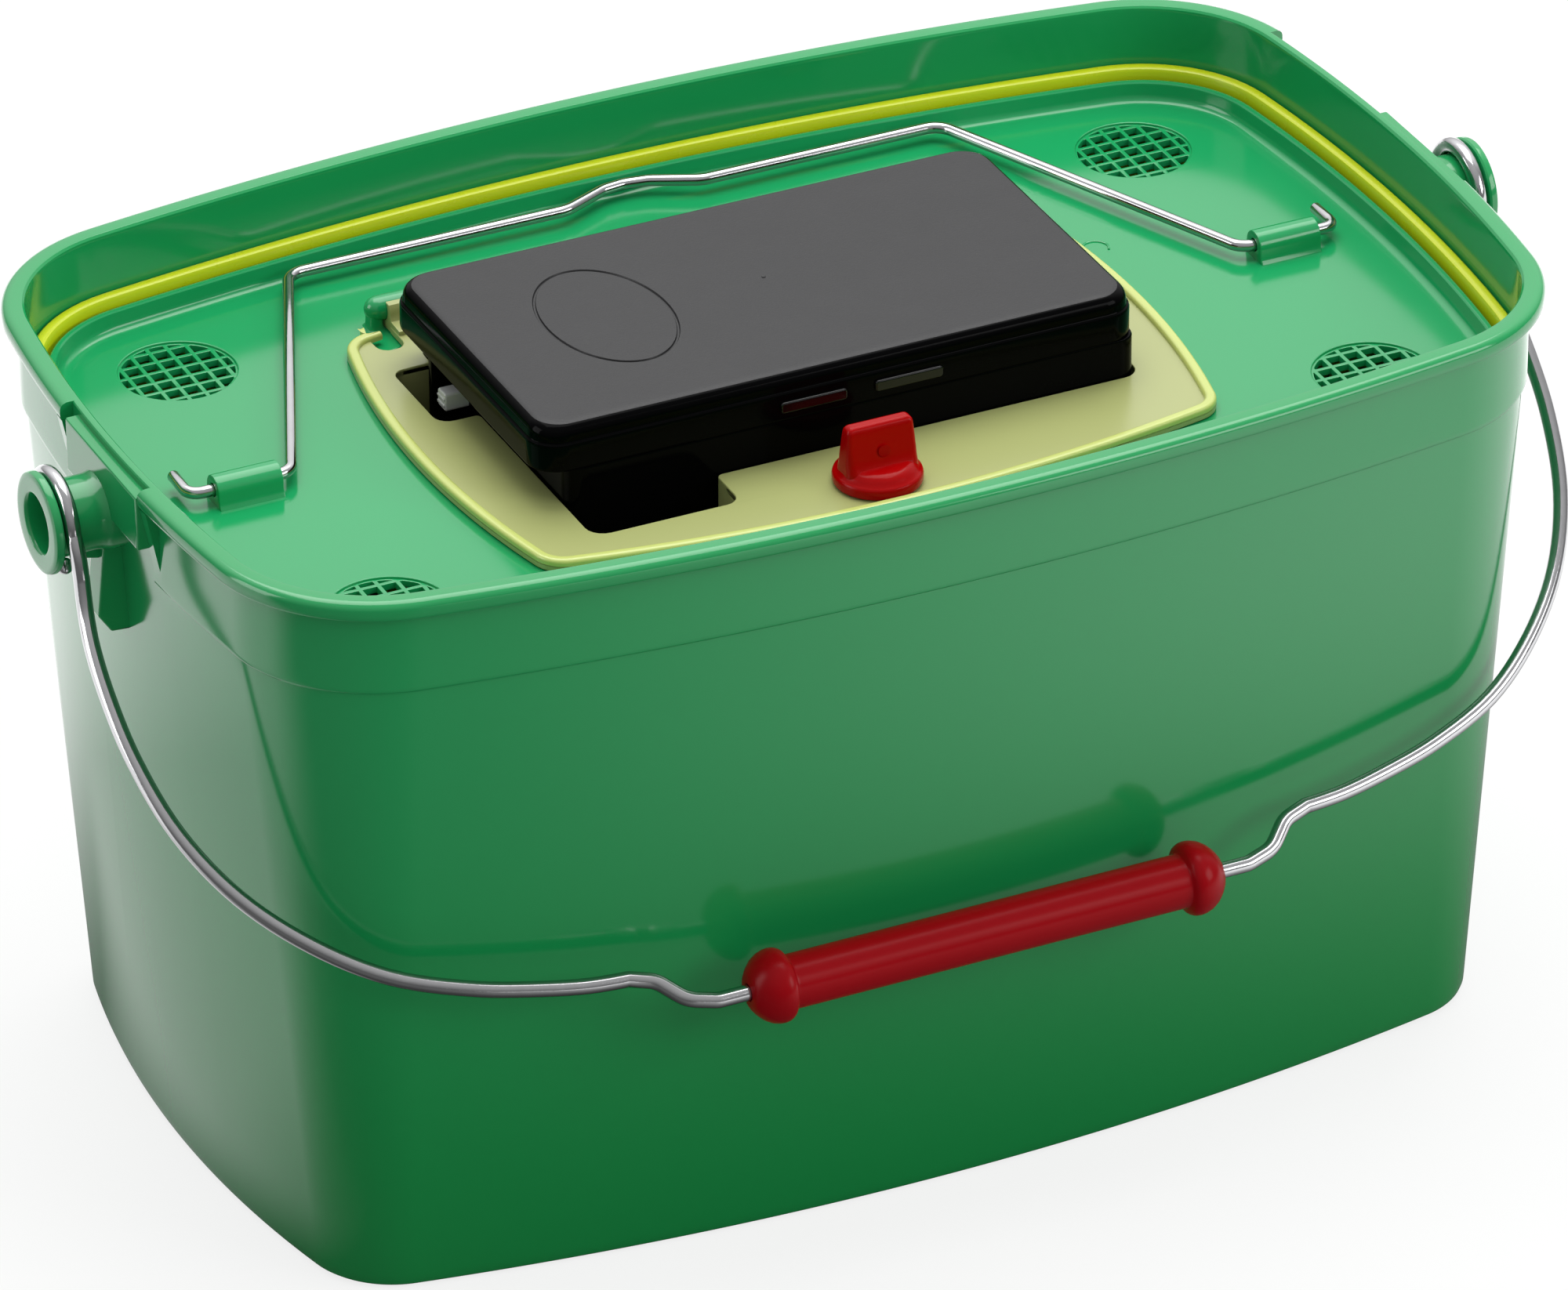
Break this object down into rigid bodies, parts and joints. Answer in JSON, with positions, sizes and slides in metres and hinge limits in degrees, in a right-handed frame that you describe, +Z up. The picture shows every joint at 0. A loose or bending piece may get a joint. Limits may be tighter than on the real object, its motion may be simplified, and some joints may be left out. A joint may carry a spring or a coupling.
{
  "type": "live bait bucket with air pump",
  "caption": "Oblong tapered bait bucket with lift-out strainer, vented lid, hinged hatch with turn latch, drop-in battery air pump and a wire carrying bail with a turning grip.",
  "frame": {"origin": "centre of the tub's flat underside, midway between the two ears", "axes": "+Z up, X along the long side through the ears, -Y towards the front where the carrying bail hangs at rest"},
  "size_m": [0.385, 0.237, 0.198],
  "materials": {
    "green": "gloss",
    "green_lid": "gloss",
    "wire_steel": "bright drawn",
    "red": "gloss",
    "yellow": "gloss",
    "hatch_yellow": "satin, translucent",
    "screw_steel": "zinc plated",
    "black_gloss": "gloss",
    "black_satin": "fine texture",
    "cell_label": "plain sleeve",
    "brass": "bright",
    "white": "satin",
    "rubber": "matte",
    "hose": "clear",
    "stone": "porous",
    "grey": "satin",
    "wire_red": "insulation"
  },
  "bodies": {
    "tub": {"outer_bucket": "green"},
    "bail": {"bail_wire": "wire_steel"},
    "grip": {"bail_grip": "red"},
    "strainer": {"inner_bucket": "yellow"},
    "lid": {"lid_panel": "green_lid"},
    "lifting_wire": {"lid_wire": "wire_steel"},
    "hatch": {"hatch_door": "hatch_yellow"},
    "latch": {"latch_knob": "red", "latch_tongue": "red", "latch_screw": "screw_steel"},
    "pump": {"pump_case": "black_gloss", "battery_cells": "cell_label", "battery_springs": "wire_steel", "contact_plates": "brass", "motor": "screw_steel", "motor_bracket": "black_satin", "bracket_screws": "screw_steel", "rocker_pin": "screw_steel", "diaphragm": "rubber", "air_head": "white", "air_hose": "hose", "air_stone": "stone", "switch_contacts": "brass", "wiring": "wire_red"},
    "cover": {"pump_cover": "black_satin"},
    "switch": {"switch_slider": "grey"},
    "crank": {"crank": "brass"},
    "rocker": {"rocker_arm": "white"}
  },
  "joints": [
    {"name": "bail_swing", "type": "hinge", "parent": "tub", "child": "bail", "pos_m": [0, 0, 0.1795], "axis": [-1, 0, 0], "range_deg": [0, 260]},
    {"name": "grip_turn", "type": "hinge", "parent": "bail", "child": "grip", "pos_m": [0, -0.11585, 0.0788], "axis": [1, 0, 0], "continuous": true},
    {"name": "strainer_lift", "type": "slide", "parent": "tub", "child": "strainer", "axis": [0, 0, 1], "range_m": [0, 0.2]},
    {"name": "lid_lift", "type": "slide", "parent": "strainer", "child": "lid", "axis": [0, 0, 1], "range_m": [0, 0.12]},
    {"name": "lifting_wire_fold", "type": "hinge", "parent": "lid", "child": "lifting_wire", "pos_m": [0, 0, 0.1774], "axis": [1, 0, 0], "range_deg": [0, 165]},
    {"name": "hatch_swing", "type": "hinge", "parent": "lid", "child": "hatch", "pos_m": [-0.0025, 0.0625, 0.1789], "axis": [-1, 0, 0], "range_deg": [0, 95]},
    {"name": "latch_turn", "type": "hinge", "parent": "hatch", "child": "latch", "pos_m": [-0.0025, -0.0625, 0.176], "axis": [0, 0, -1], "range_deg": [0, 90]},
    {"name": "pump_lift", "type": "slide", "parent": "hatch", "child": "pump", "axis": [0, 0, 1], "range_m": [0, 0.05]},
    {"name": "cover_lift", "type": "slide", "parent": "pump", "child": "cover", "axis": [0, 0, 1], "range_m": [0, 0.03]},
    {"name": "switch_slide", "type": "slide", "parent": "pump", "child": "switch", "axis": [0, -1, 0], "range_m": [0, 0.005]},
    {"name": "crank_turn", "type": "hinge", "parent": "pump", "child": "crank", "pos_m": [-0.0425, 0.004, 0.172], "axis": [1, 0, 0], "continuous": true},
    {"name": "rocker_rock", "type": "hinge", "parent": "pump", "child": "rocker", "pos_m": [-0.0543, 0.031, 0.1659], "axis": [1, 0, 0], "range_deg": [-3, 3], "deforming": ["diaphragm"]}
  ]
}
